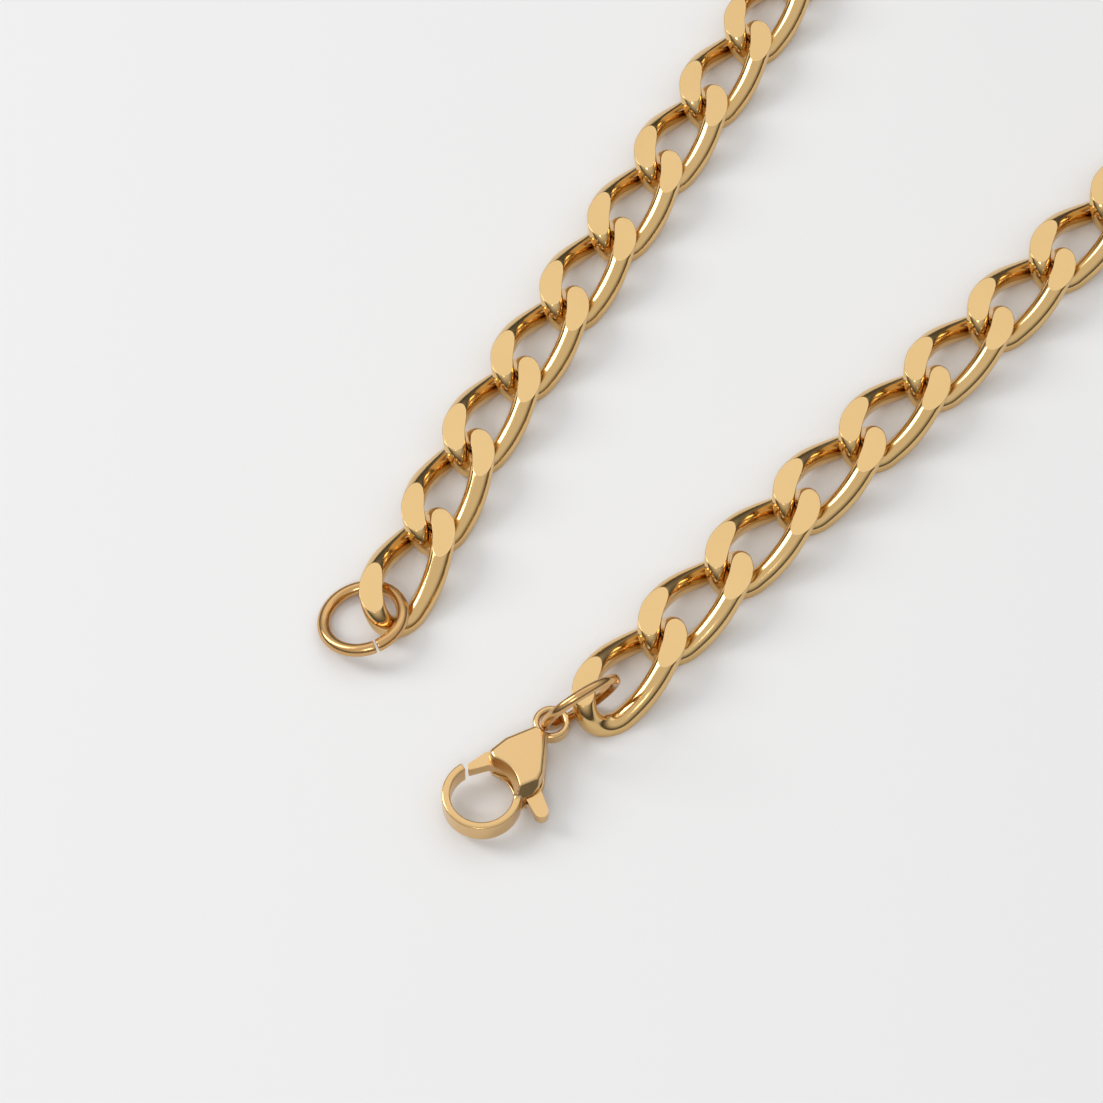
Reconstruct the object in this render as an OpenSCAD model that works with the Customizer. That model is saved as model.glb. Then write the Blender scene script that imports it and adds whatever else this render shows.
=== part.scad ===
// Curb-chain necklace with a lobster clasp, laid out in a long loop on a flat surface.
// Millimetres. +Z is up, +Y runs along the necklace away from its two ends, and the
// surface it lies on is Z = 0. The origin is under the middle of the whole loop.

/* [Link] */
// Wire diameter of a link
wire_d = 1.6; // [1.5:0.05:1.65]
// Distance that one link adds to the chain
pitch = 7; // [6.9:0.05:7.2]
// Play between two neighbouring links, along the chain
play = 0.22; // [0.2:0.01:0.28]
// Bend radius of the wire at the end of a link, before it is twisted
end_bend = 1.92; // [1.9:0.01:1.98]
// Twist of each end of a link out of the flat, in degrees
twist = 56; // [55:0.5:57]
// Thickness of a link between its two filed flats
flat_h = 2.76; // [2.7:0.02:2.9]

/* [Lay of the chain] */
// Turn from link to link round the far end of the loop, in degrees
arc_turn = 10.34; // [9.8:0.02:10.4]
// Turn of the whole far end to one side, in degrees
arc_skew = 3.7; // [0:0.1:4]
// Lean of each straight side outward, in degrees
side_lean = 6.8; // [6:0.1:8]

/* [Jump rings] */
// Outer diameter of the ring at the free end
end_ring_od = 6.4; // [6.35:0.05:6.45]
// Wire diameter of the ring at the free end
end_ring_wire = 0.9; // [0.8:0.05:0.9]
// Outer diameter of the clasp's ring
clasp_ring_od = 6.2; // [6.1:0.05:6.3]
// Wire diameter of the clasp's ring
clasp_ring_wire = 0.7; // [0.6:0.05:0.7]
// Width of the slit where a jump ring closes
ring_slit = 0.1; // [0.05:0.05:0.3]

/* [Clasp] */
// Outer radius of the clasp's eye
eye_r = 1.27; // [1.26:0.01:1.3]
// Radius of the hole in the eye
eye_hole_r = 0.8; // [0.8:0.01:0.85]
// Thickness of the eye
eye_h = 0.9; // [0.8:0.05:0.95]
// Thickness of the clasp's body
body_h = 2.8; // [2.75:0.05:2.9]
// Outer radius of the hook
hook_r = 2.64; // [2.6:0.02:2.7]
// Width of the hook's band, seen from above
band_w = 0.56; // [0.5:0.02:0.6]
// Height of the hook's band
band_h = 1.6; // [1.4:0.05:1.8]
// Thickness of the lever
lever_h = 0.86; // [0.8:0.02:0.9]

/* [Hidden] */
GOLD = "#d8a95c";
PALE_GOLD = "#e6bf7e";
DARK_GOLD = "#b98943";
STEEL = "#b9b9bd";

// ---- layout of the chain ----

LINKS = 54;
HALF = LINKS / 2;
ARC_LINKS = 13;              // links on each side of the round far end
FLARE_LINKS = 5;             // links that lead from the far end into a straight side
LEAN_LEFT = [6.5, 7.5, 1.5]; // extra turn of the last links of the left side
LEAN_RIGHT = [-3.6, -1.7];   // and of the right side
SIDE_TURN = 90 + side_lean;
CENTRE = [2.47, -84.84];     // middle of the loop, from the middle of its far end

// Link 1 carries the end ring and link 54 the clasp. Steps count from the far end.
function arc_heading(step, side) = (step + 0.5) * arc_turn + side * arc_skew;
function lean(k, leans) = k >= 0 && k < len(leans) ? leans[k] : 0;
function turned(step, side) =
    let (last = arc_heading(ARC_LINKS - 1, side), past = step - ARC_LINKS + 1)
    past <= 0 ? arc_heading(step, side)
    : past <= FLARE_LINKS ? last + (SIDE_TURN - last) * past / FLARE_LINKS
    : SIDE_TURN + lean(HALF - 1 - step, side > 0 ? LEAN_LEFT : LEAN_RIGHT);
function heading(i) = i < HALF ? turned(HALF - 1 - i, 1) : -turned(i - HALF, -1);
function along(a) = [cos(a), sin(a)];

HEADINGS = [for (i = [0 : LINKS - 1]) heading(i)];

// Pivots between links: pivot k is before link k, counted from 0.
RIGHT_PIVOTS = [
    for (i = HALF, p = [0, 0]; i <= LINKS; p = p + pitch * along(heading(i)), i = i + 1) p
];
LEFT_PIVOTS = [
    for (i = HALF, p = [0, 0]; i >= 0; i = i - 1, p = p - pitch * along(heading(i))) p
];
function pivot(k) = (k < HALF ? LEFT_PIVOTS[HALF - k] : RIGHT_PIVOTS[k - HALF]) - CENTRE;
function link_middle(i) = (pivot(i) + pivot(i + 1)) / 2;

function two_digits(n) = n < 10 ? str("0", n) : str(n);
function link_name(n) = str("link_", two_digits(n));

// ---- link ----

SIDES = 8;        // flats round a link's wire
END_STEPS = 8;    // steps round each end of a link
RAIL_STEPS = 4;   // steps along each long side of a link
TWIST_EASE = 0.3; // how much of the twist eases off towards the ends

wire_r = wire_d / 2;
half_l = (pitch + wire_d + play) / 2;   // link's middle to the middle of its end wire
half_h = flat_h / 2;
bend_x = half_l - end_bend;             // where an end bend starts
polygon_r = wire_r / sqrt(cos(180 / SIDES));

// The untwisted wire's centre line: two half circles joined by straight sides.
function blank_end(side) = [
    for (i = [0 : END_STEPS])
        let (a = -90 + 180 * i / END_STEPS)
        [side * (bend_x + end_bend * cos(a)), side * end_bend * sin(a)]
];
function blank_rail(side) = [
    for (i = [1 : RAIL_STEPS - 1])
        [side * bend_x * (1 - 2 * i / RAIL_STEPS), side * end_bend]
];
function blank() = concat(blank_end(1), blank_rail(1), blank_end(-1), blank_rail(-1));

// The twist grows along the whole link, a little faster near its middle.
function twist_at(x) =
    let (u = x / half_l)
    -twist * ((1 - TWIST_EASE) * u + TWIST_EASE * sin(90 * u));
function twisted(p) = let (a = twist_at(p[0])) [p[0], p[1] * cos(a), p[1] * sin(a)];
function unit(v) = v / norm(v);
function filed(v) = [v[0], v[1], half_h + max(-half_h, min(half_h, v[2]))];

function wire_ring(path, flat_path, i) =
    let (
        count = len(path),
        run = unit(path[(i + 1) % count] - path[(i + count - 1) % count]),
        a = twist_at(flat_path[i][0]),
        up = [0, -sin(a), cos(a)],
        rise = unit(up - (up * run) * run),
        out = cross(run, rise)
    )
    [
        for (j = [0 : SIDES - 1])
            let (b = 360 * (j + 0.5) / SIDES)
            filed(path[i] + polygon_r * (cos(b) * rise + sin(b) * out))
    ];

module link_shape() {
    flat_path = blank();
    path = [for (p = flat_path) twisted(p)];
    count = len(path);
    points = [for (i = [0 : count - 1]) each wire_ring(path, flat_path, i)];
    faces = [
        for (i = [0 : count - 1])
            for (j = [0 : SIDES - 1])
                let (
                    a = i * SIDES + j,
                    b = i * SIDES + (j + 1) % SIDES,
                    c = ((i + 1) % count) * SIDES + (j + 1) % SIDES,
                    d = ((i + 1) % count) * SIDES + j
                )
                each [[a, c, b], [a, d, c]]
    ];
    polyhedron(points, faces);
}

module link(n) {
    color(GOLD)
    at_link(n)
    link_shape();
}

// ---- jump rings ----

END_RING_AT = [-4.52, 1.33, 1.11];      // from the middle of link 1
END_RING_TILT = 13.8;
END_RING_FACING = 73.8;
END_RING_SLIT = 151;
CLASP_RING_AT = [4.62, -0.5, 3.02];     // from the middle of the last link
CLASP_RING_TILT = 75.4;
CLASP_RING_FACING = 253.2;
CLASP_RING_SLIT = 20;

module at_link(n) {
    translate(link_middle(n - 1))
    rotate(HEADINGS[n - 1])
    children();
}

// A ring round the Z axis, with the slit where its wire closes at the given angle.
module jump_ring(od, wire, slit_at) {
    ring_r = (od - wire) / 2;
    slit_angle = 2 * asin(ring_slit / 2 / ring_r);
    rotate(slit_at + slit_angle / 2)
    rotate_extrude(angle = 360 - slit_angle, $fn = 48)
    translate([ring_r, 0])
    circle(d = wire, $fn = 24);
}

module end_ring() {
    color(DARK_GOLD)
    at_link(1)
    translate(END_RING_AT)
    rotate([0, END_RING_TILT, END_RING_FACING])
    jump_ring(end_ring_od, end_ring_wire, END_RING_SLIT);
}

module clasp_ring() {
    color(DARK_GOLD)
    at_link(LINKS)
    translate(CLASP_RING_AT)
    rotate([0, CLASP_RING_TILT, CLASP_RING_FACING])
    jump_ring(clasp_ring_od, clasp_ring_wire, CLASP_RING_SLIT);
}

// ---- clasp ----
// Its own frame: the eye's centre is the origin, X runs to the hook, the lever's gate is
// on the -Y side and its thumb tab on the +Y side, and Z = 0 is the middle of its thickness.

CLASP_AT = [6.43, -1.5, body_h / 2];    // from the middle of the last link
CLASP_TURN = 0.7;
HOOK_AT = [7.2, -0.1];                  // middle of the hook's ring
HOOK_ROOT = 128;                        // the band's two ends, as angles round HOOK_AT
HOOK_NOSE = -110;
PIN_AT = [3.9, 0.55];
pin_r = 0.38;
pin_play = 0.02;
lever_play = 0.07;                      // between the lever and each cheek
NECK_X = 2.7;                           // back of the slot that the lever turns in
ROOT_X = 5.75;                          // front of the slot, where the hook joins on
GATE_JOINT = [4.75, -1.5];
GATE_TIP = [6.155, -2];                 // inner corner of the gate's end
GATE_TIP_OUT = [5.93, -2.2];            // outer corner of the gate's end
NOSE_LINE = 39;                         // direction of the gap between gate and nose
NOSE_END = [6.3, -2.12];                // a point of that gap
TAB_ROOT = [4.9, 2.3];
TAB_TIP = [5.6, 3.65];
root_disc_r = 0.72;
HOOK_SEAT_R = 2.42;                     // the body stops here, inside the hook's band
EYE_CLEAR_R = 1.3;                      // the body stops here, above and below the eye
GATE_ROOT_R = 0.48;
spring_r = 0.82;
spring_t = 0.14;
spring_w = lever_h - 0.2;
SPRING_FROM = 142;                      // the spring's arc, as angles round the pin
SPRING_TURN = 96;
SPRING_FOOT_Y = 0.45;
SPRING_FOOT_W = 0.2;
BIG = 8;                                // longer than any part of the clasp it cuts

module at_clasp() {
    at_link(LINKS)
    translate(CLASP_AT)
    rotate(CLASP_TURN)
    children();
}

module disc(at, r) {
    translate(at)
    circle(r = r, $fn = 32);
}

module body_outline() {
    difference() {
        hull() {
            disc([1.2, 0.1], 0.5);
            disc([4.35, -1.1], 0.55);
            disc([4.5, 1.95], 0.62);
            disc([6.2, 2.15], 0.35);
        }
        disc(HOOK_AT, HOOK_SEAT_R);
        disc([0, 0], EYE_CLEAR_R);
    }
}

module eye() {
    wall = eye_r - eye_hole_r;
    rotate_extrude($fn = 48)
    translate([eye_hole_r + wall / 2, 0])
    hull() {
        translate([0, (eye_h - wall) / 2])
        circle(d = wall, $fn = 24);
        translate([0, -(eye_h - wall) / 2])
        circle(d = wall, $fn = 24);
    }
}

// The band is cut off along the line that the gate's tip slides past.
module hook() {
    difference() {
        translate(HOOK_AT)
        rotate(HOOK_NOSE)
        rotate_extrude(angle = HOOK_ROOT - HOOK_NOSE, $fn = 64)
        translate([hook_r - band_w, -band_h / 2])
        square([band_w, band_h]);
        translate(NOSE_END)
        rotate(NOSE_LINE)
        translate([-BIG / 4, 0, -BIG / 2])
        cube([BIG / 2, 1, BIG]);
    }
}

// The body's outline, full height. Near the eye only a neck as thick as the eye is left.
module body_block() {
    translate([0, 0, -body_h / 2])
    linear_extrude(body_h)
    body_outline();
    translate([0, 0, -eye_h / 2])
    linear_extrude(eye_h)
    hull() {
        disc([EYE_CLEAR_R - 0.15, 0], 0.3);
        disc([EYE_CLEAR_R + 0.3, 0], 0.6);
    }
}

module clasp_body() {
    color(PALE_GOLD)
    at_clasp()
    difference() {
        union() {
            body_block();
            hook();
            eye();
        }
        cylinder(r = eye_hole_r, h = BIG, center = true, $fn = 48);
        translate([NECK_X, -BIG / 2, -lever_h / 2 - lever_play])
        cube([ROOT_X - NECK_X, BIG, lever_h + 2 * lever_play]);
        translate(PIN_AT)
        cylinder(r = pin_r + pin_play / 2, h = BIG, center = true, $fn = 32);
    }
}

module lever_outline() {
    disc(PIN_AT, root_disc_r);
    hull() {
        disc(PIN_AT, 0.6);
        disc(GATE_JOINT, GATE_ROOT_R);
    }
    hull() {
        disc(GATE_JOINT, GATE_ROOT_R);
        disc(GATE_TIP, 0.1);
        disc(GATE_TIP_OUT, 0.1);
    }
    hull() {
        disc(PIN_AT, 0.6);
        disc(TAB_ROOT, 0.6);
    }
    hull() {
        disc(TAB_ROOT, 0.6);
        disc(TAB_TIP, 0.48);
    }
}

module clasp_lever() {
    color(GOLD)
    at_clasp()
    difference() {
        translate([0, 0, -lever_h / 2])
        linear_extrude(lever_h)
        lever_outline();
        translate(PIN_AT)
        cylinder(r = pin_r + pin_play, h = body_h, center = true, $fn = 32);
    }
}

module lever_pin() {
    color(DARK_GOLD)
    at_clasp()
    translate(PIN_AT)
    cylinder(r = pin_r, h = body_h - 0.1, center = true, $fn = 32);
}

// A leaf spring bent round the lever's root, with a foot on the back of the slot.
module lever_spring() {
    color(STEEL)
    at_clasp() {
        translate(PIN_AT)
        rotate(SPRING_FROM)
        rotate_extrude(angle = SPRING_TURN, $fn = 48)
        translate([spring_r, -spring_w / 2])
        square([spring_t, spring_w]);
        translate([NECK_X + 0.02, SPRING_FOOT_Y, -spring_w / 2])
        cube([PIN_AT[0] - spring_r - spring_t / 2 - NECK_X, SPRING_FOOT_W, spring_w]);
    }
}

for (n = [1 : LINKS])
    link(n);
end_ring();
clasp_ring();
clasp_body();
clasp_lever();
lever_pin();
lever_spring();
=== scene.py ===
# %% [markdown]
# # A curb-chain necklace in polished gold plate
# The frame holds every link, ring and clasp part as a plain solid in its right place. This
# script lays finer pieces over them: round wire with filed flats, rings with a cut in them,
# and a cast clasp with soft edges. Each piece is made once at the origin, then its place is
# worked into its mesh, so that the piece and its CAD solid share one frame.

import math

import bmesh
import bpy
from mathutils import Matrix, Vector


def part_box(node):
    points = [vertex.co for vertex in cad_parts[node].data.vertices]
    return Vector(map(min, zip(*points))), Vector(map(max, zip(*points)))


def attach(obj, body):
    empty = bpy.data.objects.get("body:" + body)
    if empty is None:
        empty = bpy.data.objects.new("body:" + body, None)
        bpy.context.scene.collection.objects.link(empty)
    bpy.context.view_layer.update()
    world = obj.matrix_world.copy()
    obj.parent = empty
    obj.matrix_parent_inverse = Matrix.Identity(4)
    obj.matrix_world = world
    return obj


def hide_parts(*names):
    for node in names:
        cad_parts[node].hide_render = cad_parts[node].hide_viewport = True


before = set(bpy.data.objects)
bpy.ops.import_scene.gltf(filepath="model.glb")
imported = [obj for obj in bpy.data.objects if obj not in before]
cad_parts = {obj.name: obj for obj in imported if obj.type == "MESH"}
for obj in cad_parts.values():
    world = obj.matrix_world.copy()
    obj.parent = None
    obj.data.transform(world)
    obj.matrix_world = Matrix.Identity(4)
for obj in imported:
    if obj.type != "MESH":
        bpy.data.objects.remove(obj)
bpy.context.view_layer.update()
MM = 0.001
LINK_NODES = sorted(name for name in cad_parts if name.startswith("link_"))
print("loaded", len(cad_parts), "solids,", len(LINK_NODES), "of them links")

# %% [markdown]
# The camera comes first, because every later choice is judged through it. It stands over the
# two ends of the necklace and looks down at them with a long lens. A camera looks along its
# own -Z, so `to_track_quat` turns that axis towards the target.

# %% Camera
TARGET = Vector((1.65, -66.08, 0)) * MM
CAMERA_TURN = math.radians(36.3)
CAMERA_RISE = math.radians(58.91)
CAMERA_REACH = 244.1 * MM
LENS_MM = 115.28

back = Vector((math.sin(CAMERA_TURN), -math.cos(CAMERA_TURN), 0))
camera_data = bpy.data.cameras.new("camera")
camera_data.lens = LENS_MM
camera_data.sensor_width = 36
camera_data.clip_start = 0.01
camera = bpy.data.objects.new("camera", camera_data)
bpy.context.scene.collection.objects.link(camera)
camera.location = TARGET + CAMERA_REACH * (
    math.cos(CAMERA_RISE) * back + math.sin(CAMERA_RISE) * Vector((0, 0, 1))
)
camera.rotation_euler = (TARGET - camera.location).to_track_quat("-Z", "Y").to_euler()
bpy.context.scene.camera = camera
print("camera at", [round(c, 4) for c in camera.location])

# %% [markdown]
# Polished metal shows its surroundings more than its own colour, so the studio matters as much
# as the material. A large soft box stands where the flats mirror it, one on the left draws
# bright lines along the wire, and a small one in front puts a spark on the ends. The room is
# bright overhead and dims to the horizon, which gives the gold its brown lines.


# %% Studio
def soft_box(name, place, size, watts):
    """A rectangular soft light, aimed at the middle of the stage, that shows in the metal."""
    data = bpy.data.lights.new(name, "AREA")
    data.shape = "RECTANGLE"
    data.size, data.size_y = size
    data.energy = watts
    lamp = bpy.data.objects.new(name, data)
    bpy.context.scene.collection.objects.link(lamp)
    lamp.location = place
    lamp.rotation_euler = (stage_middle - place).to_track_quat("-Z", "Y").to_euler()


right = Vector((math.cos(CAMERA_TURN), math.sin(CAMERA_TURN), 0))
ahead = -back
up = Vector((0, 0, 1))
stage_middle = Vector((0, -0.03, 0))


def spot(across, depth, height):
    """A place in the studio: across to the camera's right, depth away from it."""
    return stage_middle + right * across + ahead * depth + up * height


soft_box("overhead_box", spot(0.0, 0.27, 0.45), (0.6, 0.34), 0.23)
soft_box("left_box", spot(-0.5, 0.15, 0.4), (0.22, 0.4), 1.5)
soft_box("front_strip", spot(-0.06, -0.3, 0.3), (0.12, 0.05), 0.16)

HORIZON_Z, CEILING_Z = 0.05, 0.75
HORIZON_LIGHT, CEILING_LIGHT = 0.06, 0.76
world = bpy.data.worlds.new("room")
bpy.context.scene.world = world
world.use_nodes = True
room_tree = world.node_tree
sky = room_tree.nodes["Background"]
sky.inputs["Color"].default_value = (1.0, 1.0, 1.0, 1)
height = room_tree.nodes.new("ShaderNodeSeparateXYZ")
outlook = room_tree.nodes.new("ShaderNodeTexCoord")
room_tree.links.new(outlook.outputs["Generated"], height.inputs["Vector"])
fade = room_tree.nodes.new("ShaderNodeMapRange")
fade.interpolation_type = "SMOOTHSTEP"
fade.inputs["From Min"].default_value = HORIZON_Z
fade.inputs["From Max"].default_value = CEILING_Z
fade.inputs["To Min"].default_value = HORIZON_LIGHT
fade.inputs["To Max"].default_value = CEILING_LIGHT
room_tree.links.new(height.outputs["Z"], fade.inputs["Value"])
room_tree.links.new(fade.outputs["Result"], sky.inputs["Strength"])
bpy.context.scene.view_settings.view_transform = "Standard"
print("studio has", len(bpy.data.lights), "soft boxes")

# %% [markdown]
# The floor is a plain pale sheet, much larger than the necklace, so that its edge stays out of
# sight. It is part of the stage, not of the object.


# %% Floor
def plain_material(name, colour, roughness, metallic=0.0):
    """A Principled material to build a finish on; returns it with its shader and links."""
    material = bpy.data.materials.new(name)
    material.use_nodes = True
    shader = material.node_tree.nodes["Principled BSDF"]
    shader.inputs["Base Color"].default_value = (*colour, 1)
    shader.inputs["Roughness"].default_value = roughness
    shader.inputs["Metallic"].default_value = metallic
    return material, shader


def object_from(bm, name, *materials):
    """Puts a finished bmesh into the scene as an object at the origin."""
    mesh = bpy.data.meshes.new(name)
    bm.to_mesh(mesh)
    bm.free()
    made = bpy.data.objects.new(name, mesh)
    bpy.context.scene.collection.objects.link(made)
    for material in materials:
        mesh.materials.append(material)
    return made


paper, _ = plain_material("white_paper", (0.88, 0.88, 0.88), 0.6)
FLOOR_HALF = 1.6
sheet = bmesh.new()
bmesh.ops.create_grid(sheet, x_segments=2, y_segments=2, size=FLOOR_HALF)
floor = object_from(sheet, "floor", paper)
print("floor is", round(floor.dimensions.x, 2), "m wide")

# %% [markdown]
# Two effects are shared by the golds. `fine_scratches` is a field of hair-fine polishing lines
# that changes the roughness and lifts the surface by a hair. `plate_tone` lets the colour of
# the plating drift a little from place to place. Each is one node group, set per material.


# %% Shared effects
def group_sockets(tree, inputs, outputs):
    for name, start in inputs.items():
        socket = tree.interface.new_socket(name, in_out="INPUT", socket_type="NodeSocketFloat")
        socket.default_value = start
    for name, kind in outputs.items():
        tree.interface.new_socket(name, in_out="OUTPUT", socket_type=kind)
    return tree.nodes.new("NodeGroupInput"), tree.nodes.new("NodeGroupOutput")


def math_node(tree, operation, *values):
    """A Math node whose inputs are numbers or other nodes' sockets."""
    node = tree.nodes.new("ShaderNodeMath")
    node.operation = operation
    for socket, value in zip(node.inputs, values):
        if isinstance(value, (int, float)):
            socket.default_value = value
        else:
            tree.links.new(value, socket)
    return node.outputs[0]


def noise_node(tree, place, scale, detail=3.0):
    node = tree.nodes.new("ShaderNodeTexNoise")
    node.inputs["Detail"].default_value = detail
    tree.links.new(place, node.inputs["Vector"])
    if isinstance(scale, (int, float)):
        node.inputs["Scale"].default_value = scale
    else:
        tree.links.new(scale, node.inputs["Scale"])
    return node


def make_fine_scratches():
    tree = bpy.data.node_groups.new("fine_scratches", "ShaderNodeTree")
    inputs = {"Turn": 0.0, "Stretch": 12.0, "Scale": 900.0, "Smooth": 0.1, "Rough": 0.2}
    outputs = {"Roughness": "NodeSocketFloat", "Height": "NodeSocketFloat"}
    enter, leave = group_sockets(tree, inputs, outputs)
    place = tree.nodes.new("ShaderNodeTexCoord").outputs["Object"]
    turn = tree.nodes.new("ShaderNodeVectorRotate")
    turn.rotation_type = "Z_AXIS"
    tree.links.new(place, turn.inputs["Vector"])
    tree.links.new(enter.outputs["Turn"], turn.inputs["Angle"])
    squeeze = tree.nodes.new("ShaderNodeVectorMath")
    squeeze.operation = "MULTIPLY"
    long_way = tree.nodes.new("ShaderNodeCombineXYZ")
    long_way.inputs["X"].default_value = 1.0
    long_way.inputs["Z"].default_value = 1.0
    tree.links.new(enter.outputs["Stretch"], long_way.inputs["Y"])
    tree.links.new(turn.outputs["Vector"], squeeze.inputs[0])
    tree.links.new(long_way.outputs["Vector"], squeeze.inputs[1])
    lines = noise_node(tree, squeeze.outputs["Vector"], enter.outputs["Scale"], 4.0).outputs["Fac"]
    patches = noise_node(tree, place, 220.0).outputs["Fac"]
    mix = math_node(tree, "MULTIPLY", math_node(tree, "ADD", lines, patches), 0.5)
    span = math_node(tree, "SUBTRACT", enter.outputs["Rough"], enter.outputs["Smooth"])
    rough = math_node(tree, "MULTIPLY_ADD", mix, span, enter.outputs["Smooth"])
    tree.links.new(rough, leave.inputs["Roughness"])
    tree.links.new(lines, leave.inputs["Height"])
    return tree


def make_plate_tone():
    tree = bpy.data.node_groups.new("plate_tone", "ShaderNodeTree")
    enter, leave = group_sockets(tree, {"Scale": 120.0, "Amount": 1.0}, {"Tone": "NodeSocketFloat"})
    place = tree.nodes.new("ShaderNodeTexCoord").outputs["Object"]
    drift = noise_node(tree, place, enter.outputs["Scale"], 2.0).outputs["Fac"]
    tone = math_node(tree, "MULTIPLY", drift, enter.outputs["Amount"])
    tree.links.new(tone, leave.inputs["Tone"])
    return tree


FINE_SCRATCHES = make_fine_scratches()
PLATE_TONE = make_plate_tone()
print("shared effects:", FINE_SCRATCHES.name, "and", PLATE_TONE.name)

# %% [markdown]
# A gold finish mixes two near tones of plating by the drift, takes its roughness from the
# scratches, and uses their height for a very shallow bump.


# %% Gold finishes
def gold(name, pale, deep, scratches, bump, tone_scale=120.0):
    """A plated gold: `scratches` sets the group's own inputs, `bump` the depth in metres."""
    material, shader = plain_material(name, pale, 0.15, 1.0)
    tree = material.node_tree
    marks = tree.nodes.new("ShaderNodeGroup")
    marks.node_tree = FINE_SCRATCHES
    for socket, value in scratches.items():
        marks.inputs[socket].default_value = value
    tone = tree.nodes.new("ShaderNodeGroup")
    tone.node_tree = PLATE_TONE
    tone.inputs["Scale"].default_value = tone_scale
    ramp = tree.nodes.new("ShaderNodeMix")
    ramp.data_type = "RGBA"
    ramp.inputs["A"].default_value = (*pale, 1)
    ramp.inputs["B"].default_value = (*deep, 1)
    tree.links.new(tone.outputs["Tone"], ramp.inputs["Factor"])
    tree.links.new(ramp.outputs["Result"], shader.inputs["Base Color"])
    tree.links.new(marks.outputs["Roughness"], shader.inputs["Roughness"])
    lift = tree.nodes.new("ShaderNodeBump")
    lift.inputs["Strength"].default_value = 0.5
    lift.inputs["Distance"].default_value = bump
    tree.links.new(marks.outputs["Height"], lift.inputs["Height"])
    tree.links.new(lift.outputs["Normal"], shader.inputs["Normal"])
    return material


polished = gold(
    "polished_gold",
    (0.82, 0.565, 0.265),
    (0.74, 0.48, 0.19),
    {"Stretch": 5.0, "Scale": 700.0, "Smooth": 0.06, "Rough": 0.18},
    0.000004,
)
satin = gold(
    "filed_gold",
    (0.81, 0.56, 0.265),
    (0.76, 0.51, 0.22),
    {"Stretch": 14.0, "Scale": 500.0, "Smooth": 0.24, "Rough": 0.42},
    0.000006,
)
ring_gold = gold(
    "red_gold",
    (0.72, 0.44, 0.19),
    (0.62, 0.36, 0.14),
    {"Stretch": 6.0, "Scale": 900.0, "Smooth": 0.10, "Rough": 0.28},
    0.000004,
)
cast_gold = gold(
    "cast_gold",
    (0.77, 0.525, 0.255),
    (0.71, 0.46, 0.20),
    {"Stretch": 8.0, "Scale": 800.0, "Smooth": 0.14, "Rough": 0.30},
    0.000004,
)
spring_steel = gold(
    "leaf_steel",
    (0.58, 0.58, 0.60),
    (0.48, 0.48, 0.50),
    {"Stretch": 16.0, "Scale": 900.0, "Smooth": 0.22, "Rough": 0.40},
    0.000004,
)
FINISHES = (polished, satin, ring_gold, cast_gold, spring_steel)
print("finishes:", ", ".join(m.name for m in FINISHES))

# %% [markdown]
# A curb link starts as a long oval of round wire. Its two ends are twisted opposite ways out
# of the flat, and then both faces of the chain are filed level. The wire is swept in the same
# order as the jeweller works: a circle is extruded from frame to frame round the oval, each
# frame turned by the twist, and the last ring of edges is bridged to the first. Two
# `bisect_plane` cuts then file the flats. Slivers left by the cuts are merged away, so that
# the bevel round each flat runs evenly.

# %% Link sizes
WIRE_R = 0.8 * MM
PITCH = 7.0 * MM
PLAY = 0.22 * MM
END_BEND = 1.92 * MM
TWIST = math.radians(56)
TWIST_EASE = 0.3
HALF_THICK = 1.38 * MM
HALF_L = (PITCH + 2 * WIRE_R + PLAY) / 2
BEND_X = HALF_L - END_BEND
WIRE_SIDES = 32
END_STEPS = 24
RAIL_STEPS = 12


def oval_points():
    """The untwisted wire's centre line, once round."""
    points = []
    for side in (1, -1):
        for step in range(END_STEPS + 1):
            a = math.radians(-90 + 180 * step / END_STEPS)
            points.append(
                (side * (BEND_X + END_BEND * math.cos(a)), side * END_BEND * math.sin(a))
            )
        for step in range(1, RAIL_STEPS):
            points.append((side * BEND_X * (1 - 2 * step / RAIL_STEPS), side * END_BEND))
    return points


def twist_at(x):
    """The turn of the wire's cross-section, which grows from the middle to each end."""
    u = x / HALF_L
    return -TWIST * ((1 - TWIST_EASE) * u + TWIST_EASE * math.sin(u * math.pi / 2))


def wire_frames():
    """One frame for each point of the twisted oval: its Z runs along the wire."""
    flat = oval_points()
    line = [
        Vector((x, y * math.cos(twist_at(x)), y * math.sin(twist_at(x)))) for x, y in flat
    ]
    frames = []
    for i, (x, _) in enumerate(flat):
        run = (line[(i + 1) % len(line)] - line[i - 1]).normalized()
        a = twist_at(x)
        rise = Vector((0, -math.sin(a), math.cos(a)))
        rise = (rise - rise.dot(run) * run).normalized()
        turn = Matrix((rise, run.cross(rise), run)).transposed().to_4x4()
        frames.append(Matrix.Translation(line[i]) @ turn)
    return frames


LINK_LONG = 2 * (HALF_L + WIRE_R) / MM
print("link is", round(LINK_LONG, 2), "mm long, made of", len(wire_frames()), "rings")


# %% Sweep and file one link
def sweep(bm, frames, radius, sides):
    """Extrudes a circle from frame to frame; returns the first and last ring of edges."""
    bmesh.ops.create_circle(bm, segments=sides, radius=radius, matrix=frames[0])
    first = ring = bm.edges[:]
    for before, here in zip(frames, frames[1:]):
        made = bmesh.ops.extrude_edge_only(bm, edges=ring)["geom"]
        verts = {v for v in made if isinstance(v, bmesh.types.BMVert)}
        ring = [e for e in made if isinstance(e, bmesh.types.BMEdge) and set(e.verts) <= verts]
        bmesh.ops.transform(bm, matrix=here @ before.inverted(), verts=list(verts))
    return first, ring


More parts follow.
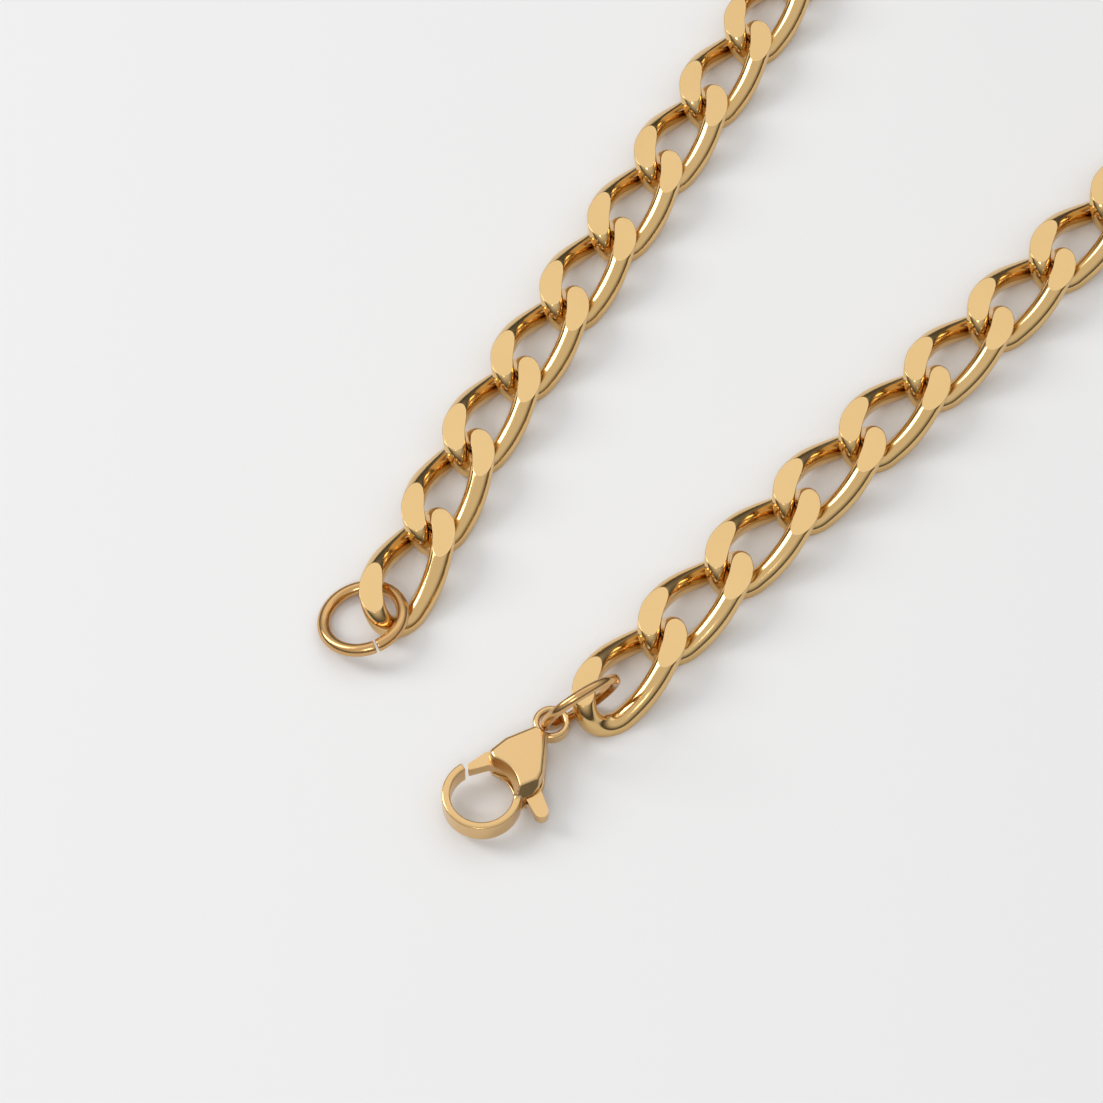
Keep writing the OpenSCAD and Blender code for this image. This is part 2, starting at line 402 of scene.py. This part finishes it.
def file_flat(bm, side):
    """Cuts the wire level at one face of the chain and closes the cut with flat faces."""
    everything = bm.verts[:] + bm.edges[:] + bm.faces[:]
    bmesh.ops.bisect_plane(
        bm,
        geom=everything,
        dist=1e-8,
        plane_co=(0, 0, side * HALF_THICK),
        plane_no=(0, 0, side),
        clear_outer=True,
    )
    rims = [e for e in bm.edges if e.is_boundary]
    return bmesh.ops.holes_fill(bm, edges=rims, sides=0)["faces"]


SLIVER = 0.04 * MM
FLAT_SOFTNESS = 0.12 * MM
link_bm = bmesh.new()
first_ring, last_ring = sweep(link_bm, wire_frames(), WIRE_R, WIRE_SIDES)
bmesh.ops.bridge_loops(link_bm, edges=first_ring + last_ring)
flats = [face for side in (1, -1) for face in file_flat(link_bm, side)]
for face in flats:
    face.material_index = 1
bmesh.ops.remove_doubles(link_bm, verts=link_bm.verts[:], dist=SLIVER)
bmesh.ops.recalc_face_normals(link_bm, faces=link_bm.faces[:])
flats = [face for face in link_bm.faces if face.material_index == 1]
flat_edges = list({e for face in flats for e in face.edges})
bmesh.ops.bevel(
    link_bm,
    geom=flat_edges,
    offset=FLAT_SOFTNESS,
    segments=3,
    profile=0.5,
    affect="EDGES",
    material=0,
    clamp_overlap=True,
)
bmesh.ops.remove_doubles(link_bm, verts=link_bm.verts[:], dist=1e-7)
for face in link_bm.faces:
    face.smooth = face.material_index == 0
print("one link has", len(link_bm.faces), "faces,", len(flats), "of them filed flats")

# %% [markdown]
# Every link of the chain is the same, so one mesh is copied and turned to lie where its solid
# lies. A solid's place is in its vertices: their mean is the link's middle, and the direction
# in which they spread most is the run of the chain.


# %% Lay the links
def lay_of(node):
    """The matrix that takes a link made at the origin to where this solid lies."""
    points = [v.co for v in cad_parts[node].data.vertices]
    middle = sum(points, Vector()) / len(points)
    middle.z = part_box(node)[0].z + HALF_THICK
    xx = sum((p.x - middle.x) ** 2 for p in points)
    yy = sum((p.y - middle.y) ** 2 for p in points)
    xy = sum((p.x - middle.x) * (p.y - middle.y) for p in points)
    heading = 0.5 * math.atan2(2 * xy, xx - yy)
    return Matrix.Translation(middle) @ Matrix.Rotation(heading, 4, "Z")


def settle(made, node, body, matrix):
    """Works the place into the mesh, hangs the piece on its body, and hides its CAD solid."""
    made.data.transform(matrix)
    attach(made, body)
    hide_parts(node)
    return made


link_lays = {node: lay_of(node) for node in LINK_NODES}
link_master = bpy.data.meshes.new("link_master")
link_bm.to_mesh(link_master)
link_bm.free()
link_master.materials.append(polished)
link_master.materials.append(satin)
for node in LINK_NODES:
    piece = bpy.data.objects.new("wire_" + node, link_master.copy())
    bpy.context.scene.collection.objects.link(piece)
    settle(piece, node, node, link_lays[node])
bpy.data.meshes.remove(link_master)
print("laid", len(LINK_NODES), "links")

# %% [markdown]
# A jump ring is a turn of round wire, cut once so that it can be opened. A circle of wire is
# spun about the ring's middle and stops just short of a full turn; the two cut ends are then
# filled and lightly softened, because a cutter leaves them crisp.


# %% Jump rings
RING_R = 2.75 * MM
END_WIRE_R, CLASP_WIRE_R = 0.45 * MM, 0.35 * MM
CUT_SOFTNESS = 0.05 * MM


def jump_ring(name, wire_r, slit_at, slit):
    """A cut ring about Z; `slit_at` is the direction of the cut and `slit` its width."""
    bm = bmesh.new()
    gap = slit / RING_R
    upright = Matrix.Rotation(math.radians(90), 4, "X")
    start = Matrix.Rotation(slit_at + gap / 2, 4, "Z") @ Matrix.Translation((RING_R, 0, 0))
    bmesh.ops.create_circle(bm, segments=32, radius=wire_r, matrix=start @ upright)
    bmesh.ops.spin(
        bm,
        geom=bm.edges[:],
        cent=(0, 0, 0),
        axis=(0, 0, 1),
        angle=2 * math.pi - gap,
        steps=120,
    )
    rims = [e for e in bm.edges if e.is_boundary]
    ends = bmesh.ops.holes_fill(bm, edges=rims, sides=0)["faces"]
    bmesh.ops.recalc_face_normals(bm, faces=bm.faces[:])
    bmesh.ops.bevel(
        bm,
        geom=list({e for face in ends for e in face.edges}),
        offset=CUT_SOFTNESS,
        segments=2,
        profile=0.5,
        affect="EDGES",
        material=-1,
    )
    for face in bm.faces:
        face.smooth = len(face.verts) < 5
    return object_from(bm, name, ring_gold)


ON_FLOOR = Matrix.Translation((0, 0, -HALF_THICK))


def ring_lay(node, at, tilt, facing):
    """Where a ring sits, told from the floor under the middle of the link it hangs on."""
    return (
        link_lays[node]
        @ ON_FLOOR
        @ Matrix.Translation(Vector(at) * MM)
        @ Matrix.Rotation(math.radians(facing), 4, "Z")
        @ Matrix.Rotation(math.radians(tilt), 4, "Y")
    )


# %% [markdown]
# `lay_of` cannot tell a link from the same link turned half round, because it looks the same.
# The rings and the clasp hang on one end only, so the two end links get their direction from
# their neighbours: it always runs from link 1 towards link 54.


# %% Place the rings
def face_forward(node, before, after):
    """Turns a link's lay half round if it runs against the direction of the chain."""
    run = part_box(after)[0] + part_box(after)[1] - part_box(before)[0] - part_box(before)[1]
    lay = link_lays[node]
    if (lay.to_3x3() @ Vector((1, 0, 0))).dot(run) < 0:
        link_lays[node] = lay @ Matrix.Rotation(math.pi, 4, "Z")


END_CUT_AT, END_CUT = math.radians(151), 0.16 * MM
CLASP_CUT_AT, CLASP_CUT = math.radians(20), 0.1 * MM
face_forward("link_01", "link_01", "link_02")
face_forward("link_54", "link_53", "link_54")
end_ring = jump_ring("wire_end_ring", END_WIRE_R, END_CUT_AT, END_CUT)
settle(
    end_ring,
    "end_ring",
    "end_ring",
    ring_lay("link_01", (-4.52, 1.33, 1.11), 13.8, 73.8),
)
clasp_ring = jump_ring("wire_clasp_ring", CLASP_WIRE_R, CLASP_CUT_AT, CLASP_CUT)
settle(
    clasp_ring,
    "clasp_ring",
    "clasp_ring",
    ring_lay("link_54", (4.62, -0.5, 3.02), 75.4, 253.2),
)
ring_gap = (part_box("end_ring")[0] - Vector(end_ring.bound_box[0])).length / MM
print("lowest corners of the end ring and its solid are", round(ring_gap, 3), "mm apart")

# %% [markdown]
# The clasp is cast, so its walls are full and its edges soft. Its body is the hull of a few
# round discs that shrink towards both faces, which gives each cheek its dome. The hook side is
# hollowed by two cones, so that the cheek walls slope towards the hook. The slot that the
# lever turns in parts the cheeks. The shapes are joined and cut with Boolean modifiers. Then a
# Remesh modifier lays an even skin over the casting and a Smooth modifier wears its edges, as
# tumbling does. Remesh cannot work finer than a tenth of a millimetre, so `tumble` blows the
# mesh up a thousand times first, and shrinks it afterwards.

# %% Clasp helpers
BODY_H = 2.8
CLASP_AT = (6.43, -1.5, BODY_H / 2)
CLASP_TURN = math.radians(0.7)
CLASP_LAY = (
    link_lays["link_54"]
    @ ON_FLOOR
    @ Matrix.Translation(Vector(CLASP_AT) * MM)
    @ Matrix.Rotation(CLASP_TURN, 4, "Z")
)
REACH = 2
STAND_UP = Matrix.Rotation(math.pi / 2, 3, "X")
HOOK_AT = (7.2, -0.1)
PIN_AT = (3.9, 0.55)


def drop_inside(bm, hull):
    """Removes the points that a convex hull has closed in."""
    spare = list(set(hull["geom_interior"] + hull["geom_unused"]))
    bmesh.ops.delete(bm, geom=spare, context="VERTS")


def hull_of_discs(name, discs, low, high, sides=64):
    """The solid that a band stretched round some upright discs would fill (millimetres)."""
    bm = bmesh.new()
    for (x, y), radius in discs:
        for z in (low, high):
            lay = Matrix.Translation(Vector((x, y, z)) * MM)
            bmesh.ops.create_circle(bm, segments=sides, radius=radius * MM, matrix=lay)
    hull = bmesh.ops.convex_hull(bm, input=bm.verts[:])
    drop_inside(bm, hull)
    bmesh.ops.dissolve_limit(bm, angle_limit=0.01, verts=bm.verts[:], edges=bm.edges[:])
    bmesh.ops.recalc_face_normals(bm, faces=bm.faces[:])
    return object_from(bm, name)


def round_bar(name, at, radius, low, high, sides=64):
    """An upright cylinder."""
    return hull_of_discs(name, [(at, radius)], low, high, sides)


def block(name, low, high):
    """A box between two corners (millimetres)."""
    bm = bmesh.new()
    bmesh.ops.create_cube(bm, size=1)
    size = (Vector(high) - Vector(low)) * MM
    bmesh.ops.scale(bm, vec=size, verts=bm.verts[:])
    bmesh.ops.translate(bm, vec=(Vector(low) + Vector(high)) / 2 * MM, verts=bm.verts[:])
    return object_from(bm, name)


def baked(made):
    """Applies the modifiers of an object to its mesh."""
    seen = made.evaluated_get(bpy.context.evaluated_depsgraph_get())
    mesh = bpy.data.meshes.new_from_object(seen)
    made.modifiers.clear()
    made.data = mesh
    return made


def combine(made, tool, operation):
    """Joins or cuts with another object, which is used up."""
    step = made.modifiers.new(operation.lower(), "BOOLEAN")
    step.operation = operation
    step.solver = "EXACT"
    step.object = tool
    baked(made)
    bpy.data.objects.remove(tool)
    return made


def soften(made, width, segments=3, angle=35):
    """Rounds every edge sharper than the angle, and keeps the flats flat in shading."""
    edges = made.modifiers.new("soft_edges", "BEVEL")
    edges.width = width * MM
    edges.segments = segments
    edges.limit_method = "ANGLE"
    edges.angle_limit = math.radians(angle)
    shade = made.modifiers.new("flat_shading", "WEIGHTED_NORMAL")
    shade.keep_sharp = True
    for face in made.data.polygons:
        face.use_smooth = True
    return made


def tumble(made, grain, passes):
    """Rounds a casting all over: an even skin of small faces, then smoothed (millimetres)."""
    made.data.transform(Matrix.Scale(1 / MM, 4))
    skin = made.modifiers.new("even_skin", "REMESH")
    skin.mode = "VOXEL"
    skin.voxel_size = grain
    skin.use_smooth_shade = True
    worn = made.modifiers.new("worn_edges", "SMOOTH")
    worn.factor = 0.5
    worn.iterations = passes
    materials = list(made.data.materials)
    baked(made)
    made.data.transform(Matrix.Scale(MM, 4))
    for material in materials:
        if material.name not in made.data.materials:
            made.data.materials.append(material)
    return made


print("clasp's eye is at", [round(c * 1000, 2) for c in CLASP_LAY.translation])

# %% [markdown]
# The hook is a flat band bent into most of a circle. Its cross-section is a rectangle with
# rounded corners, spun about the hook's middle from the body round to the nose.


# %% Hook band
HOOK_OUT, HOOK_BAND, HOOK_H = 2.64, 0.56, 1.6
HOOK_ROOT, HOOK_NOSE = 128, -110
NOSE_LINE = 39
NOSE_END = (6.3, -2.12)
HOOK_CORNER = 0.12


def hook_band():
    bm = bmesh.new()
    bmesh.ops.create_grid(bm, x_segments=1, y_segments=1, size=0.5)
    bmesh.ops.scale(bm, vec=(HOOK_BAND * MM, HOOK_H * MM, 1), verts=bm.verts[:])
    bmesh.ops.bevel(
        bm,
        geom=bm.verts[:],
        offset=HOOK_CORNER * MM,
        segments=4,
        profile=0.5,
        affect="VERTICES",
        material=-1,
    )
    bmesh.ops.rotate(bm, cent=(0, 0, 0), matrix=STAND_UP, verts=bm.verts[:])
    bmesh.ops.translate(bm, vec=((HOOK_OUT - HOOK_BAND / 2) * MM, 0, 0), verts=bm.verts[:])
    to_nose = Matrix.Rotation(math.radians(HOOK_NOSE), 3, "Z")
    bmesh.ops.rotate(bm, cent=(0, 0, 0), matrix=to_nose, verts=bm.verts[:])
    bmesh.ops.spin(
        bm,
        geom=bm.faces[:],
        cent=(0, 0, 0),
        axis=(0, 0, 1),
        angle=math.radians(HOOK_ROOT - HOOK_NOSE),
        steps=96,
    )
    bmesh.ops.translate(bm, vec=Vector((*HOOK_AT, 0)) * MM, verts=bm.verts[:])
    bmesh.ops.recalc_face_normals(bm, faces=bm.faces[:])
    band = object_from(bm, "hook_band")
    nose = block("nose_cut", (-REACH, 0, -REACH), (REACH, 1, REACH))
    nose.data.transform(
        Matrix.Translation(Vector((*NOSE_END, 0)) * MM)
        @ Matrix.Rotation(math.radians(NOSE_LINE), 4, "Z")
    )
    return combine(band, nose, "DIFFERENCE")


band = hook_band()
print("hook band has", len(band.data.polygons), "faces")

# %% [markdown]
# The eye is a small flat ring at the other end. Its wall is a rounded strip, spun a full turn.


# %% Eye
EYE_OUT, EYE_HOLE, EYE_H = 1.27, 0.8, 0.9
EYE_CORNER = 0.2


def eye_ring():
    bm = bmesh.new()
    wall = EYE_OUT - EYE_HOLE
    bmesh.ops.create_grid(bm, x_segments=1, y_segments=1, size=0.5)
    bmesh.ops.scale(bm, vec=(wall * MM, EYE_H * MM, 1), verts=bm.verts[:])
    bmesh.ops.bevel(
        bm,
        geom=bm.verts[:],
        offset=EYE_CORNER * MM,
        segments=6,
        profile=0.5,
        affect="VERTICES",
        material=-1,
    )
    bmesh.ops.rotate(bm, cent=(0, 0, 0), matrix=STAND_UP, verts=bm.verts[:])
    bmesh.ops.translate(bm, vec=((EYE_OUT - wall / 2) * MM, 0, 0), verts=bm.verts[:])
    rim = bm.edges[:]
    bmesh.ops.delete(bm, geom=bm.faces[:], context="FACES_ONLY")
    bmesh.ops.spin(
        bm, geom=rim, cent=(0, 0, 0), axis=(0, 0, 1), angle=2 * math.pi, steps=72, use_merge=True
    )
    bmesh.ops.remove_doubles(bm, verts=bm.verts[:], dist=1e-7)
    bmesh.ops.recalc_face_normals(bm, faces=bm.faces[:])
    return object_from(bm, "eye_ring")


eye = eye_ring()
print("eye has", len(eye.data.polygons), "faces")

# %% [markdown]
# The dome is built in layers. Each pair gives how far the outline has drawn in, and at what
# height. The layers follow a quarter of an ellipse, so the top ends flat. The corner by the
# thumb tab is then cut away by a slanting plane.

# %% Clasp body
LEVER_H, LEVER_PLAY = 0.86, 0.07
SLOT_H = LEVER_H / 2 + LEVER_PLAY
DOME_INSET, DOME_H = 0.4, 0.55
DOME_STEPS = 8
SEAT_LOW_R, SEAT_TOP_R = 2.1, 2.52
SEAT_OVER = 1.5
EYE_ROOM_R = 1.3
SLOT_FROM, SLOT_TO = 2.7, 5.75
PIN_R, PIN_HALF = 0.38, 1.26
CORNER_AT, CORNER_FACING = (5.3, 1.75), (0.35, 0.72, 0.6)
CAST_GRAIN, CAST_PASSES = 0.055, 5
body_discs = [
    ((1.25, 0.1), 0.52),
    ((3.35, -0.78), 0.66),
    ((4.4, -1.02), 0.6),
    ((3.9, 1.66), 0.7),
    ((4.6, 1.9), 0.66),
    ((6.2, 2.1), 0.42),
]


def domed_hull(name, discs):
    """A hull of upright discs that is drawn in towards both faces."""
    bm = bmesh.new()
    for step in range(DOME_STEPS + 1):
        a = math.pi / 2 * step / DOME_STEPS
        inset = DOME_INSET * (1 - math.cos(a))
        height = BODY_H / 2 - DOME_H * (1 - math.sin(a))
        for (x, y), radius in discs:
            for z in (-height, height):
                lay = Matrix.Translation(Vector((x, y, z)) * MM)
                bmesh.ops.create_circle(bm, segments=64, radius=(radius - inset) * MM, matrix=lay)
    hull = bmesh.ops.convex_hull(bm, input=bm.verts[:])
    drop_inside(bm, hull)
    for side in (1, -1):
        bmesh.ops.bisect_plane(
            bm,
            geom=bm.verts[:] + bm.edges[:] + bm.faces[:],
            dist=1e-8,
            plane_co=Vector((*CORNER_AT, side * BODY_H / 2)) * MM,
            plane_no=Vector((*CORNER_FACING[:2], side * CORNER_FACING[2])),
            clear_outer=True,
        )
        rims = [e for e in bm.edges if e.is_boundary]
        bmesh.ops.holes_fill(bm, edges=rims, sides=0)
    bmesh.ops.dissolve_limit(bm, angle_limit=0.01, verts=bm.verts[:], edges=bm.edges[:])
    bmesh.ops.recalc_face_normals(bm, faces=bm.faces[:])
    return object_from(bm, name)


def seat_cone(side):
    """Half of the hook's seat: a cone that is widest at the face of the clasp."""
    bm = bmesh.new()
    reach = BODY_H / 2 - SLOT_H
    growth = (SEAT_TOP_R - SEAT_LOW_R) / reach
    bmesh.ops.create_cone(
        bm,
        cap_ends=True,
        segments=72,
        radius1=SEAT_LOW_R * MM,
        radius2=(SEAT_LOW_R + growth * reach * SEAT_OVER) * MM,
        depth=reach * SEAT_OVER * MM,
    )
    bmesh.ops.translate(bm, vec=(0, 0, (SLOT_H + reach * SEAT_OVER / 2) * MM), verts=bm.verts[:])
    if side < 0:
        flip = Matrix.Rotation(math.pi, 3, "X")
        bmesh.ops.rotate(bm, cent=(0, 0, 0), matrix=flip, verts=bm.verts[:])
    bmesh.ops.translate(bm, vec=Vector((*HOOK_AT, 0)) * MM, verts=bm.verts[:])
    return object_from(bm, "seat_cone")


clasp_body = domed_hull("cast_clasp_body", body_discs)
combine(clasp_body, round_bar("hook_seat", HOOK_AT, SEAT_LOW_R, -REACH, REACH, 72), "DIFFERENCE")
for side in (1, -1):
    combine(clasp_body, seat_cone(side), "DIFFERENCE")
combine(clasp_body, round_bar("eye_room", (0, 0), EYE_ROOM_R, -REACH, REACH, 64), "DIFFERENCE")
neck = hull_of_discs("neck", [((1.15, 0), 0.3), ((1.6, 0), 0.6)], -EYE_H / 2, EYE_H / 2)
combine(clasp_body, neck, "UNION")
combine(clasp_body, eye, "UNION")
combine(clasp_body, round_bar("eye_hole", (0, 0), EYE_HOLE, -REACH, REACH, 72), "DIFFERENCE")
slot = block("slot", (SLOT_FROM, -2 * REACH, -SLOT_H), (SLOT_TO, 2 * REACH, SLOT_H))
combine(clasp_body, slot, "DIFFERENCE")
combine(clasp_body, band, "UNION")
pin_hole = round_bar("pin_hole", PIN_AT, PIN_R + 0.01, -PIN_HALF, PIN_HALF, 48)
combine(clasp_body, pin_hole, "DIFFERENCE")
clasp_body.data.materials.append(cast_gold)
tumble(clasp_body, CAST_GRAIN, CAST_PASSES)
settle(clasp_body, "clasp_body", "clasp_body", CLASP_LAY)
print("clasp body has", len(clasp_body.data.polygons), "faces after tumbling")

# %% [markdown]
# The lever is a flat plate with three arms: the gate, the thumb tab and the root round the pin.
# It is joined from hulls of discs, bored for the pin, and softened. The pin's ends stay hidden
# inside the cheeks. The leaf spring keeps its CAD solid and only gets a steel finish.

# %% Lever, pin and spring
gate_joint, gate_in, gate_out = (4.75, -1.5), (6.155, -2.0), (5.93, -2.2)
tab_root, tab_tip = (4.9, 2.3), (5.6, 3.65)
half = LEVER_H / 2
lever = hull_of_discs("gate_lever", [(PIN_AT, 0.72)], -half, half)
for arm in (
    [(PIN_AT, 0.6), (gate_joint, 0.48)],
    [(gate_joint, 0.48), (gate_in, 0.1), (gate_out, 0.1)],
    [(PIN_AT, 0.6), (tab_root, 0.6)],
    [(tab_root, 0.6), (tab_tip, 0.48)],
):
    combine(lever, hull_of_discs("arm", arm, -half, half), "UNION")
combine(lever, round_bar("bore", PIN_AT, PIN_R + 0.02, -REACH, REACH, 48), "DIFFERENCE")
lever.data.materials.append(cast_gold)
soften(lever, 0.06, 3)
settle(lever, "clasp_lever", "clasp_lever", CLASP_LAY)

pin = round_bar("hinge_pin", PIN_AT, PIN_R, 0.01 - PIN_HALF, PIN_HALF - 0.01, 48)
pin.data.materials.append(ring_gold)
soften(pin, 0.06, 2)
settle(pin, "lever_pin", "clasp_body", CLASP_LAY)
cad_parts["lever_spring"].data.materials.clear()
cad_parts["lever_spring"].data.materials.append(spring_steel)
print("lever has", len(lever.data.polygons), "faces")
